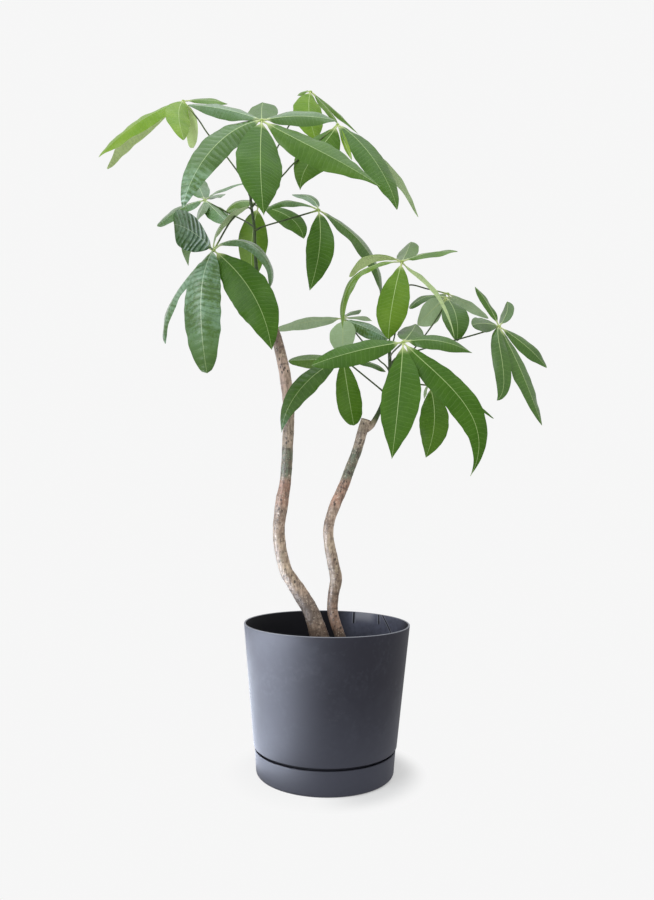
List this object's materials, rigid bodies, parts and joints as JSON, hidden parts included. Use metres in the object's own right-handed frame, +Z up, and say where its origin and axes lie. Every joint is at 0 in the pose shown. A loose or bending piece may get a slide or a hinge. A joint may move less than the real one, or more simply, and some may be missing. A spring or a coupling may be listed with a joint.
{
  "type": "potted money tree",
  "caption": "Money tree with bent woody trunks and palmate leaves on long stalks, growing in a tapered dark grey plastic pot on its matching saucer.",
  "frame": {"origin": "centre of the saucer's flat underside, where it rests on the floor", "axes": "+Z up the plant, -Y towards the viewer that the leading leaves face, +X to that viewer's right"},
  "size_m": [0.756, 0.444, 1.1489],
  "materials": {
    "pot_plastic": "satin",
    "potting_soil": "matte",
    "bark": "matte",
    "green_stem": "satin",
    "leaf": "satin"
  },
  "bodies": {
    "root": {"pot": "pot_plastic", "saucer": "pot_plastic", "soil": "potting_soil", "trunk_tall": "bark", "trunk_short": "bark", "side_shoot": "green_stem", "leaf_crown_front": "leaf", "leaf_crown_left": "leaf", "leaf_crown_top": "leaf", "leaf_crown_right": "leaf", "leaf_middle_left": "leaf", "leaf_middle_front": "leaf", "leaf_stem_tip": "leaf", "leaf_middle_right": "leaf", "leaf_branch_front": "leaf", "leaf_branch_top": "leaf", "leaf_branch_inner": "leaf", "leaf_branch_back": "leaf", "leaf_branch_right": "leaf", "leaf_branch_left": "leaf", "leaf_branch_low_left": "leaf", "leaf_branch_low_right": "leaf"}
  },
  "joints": []
}
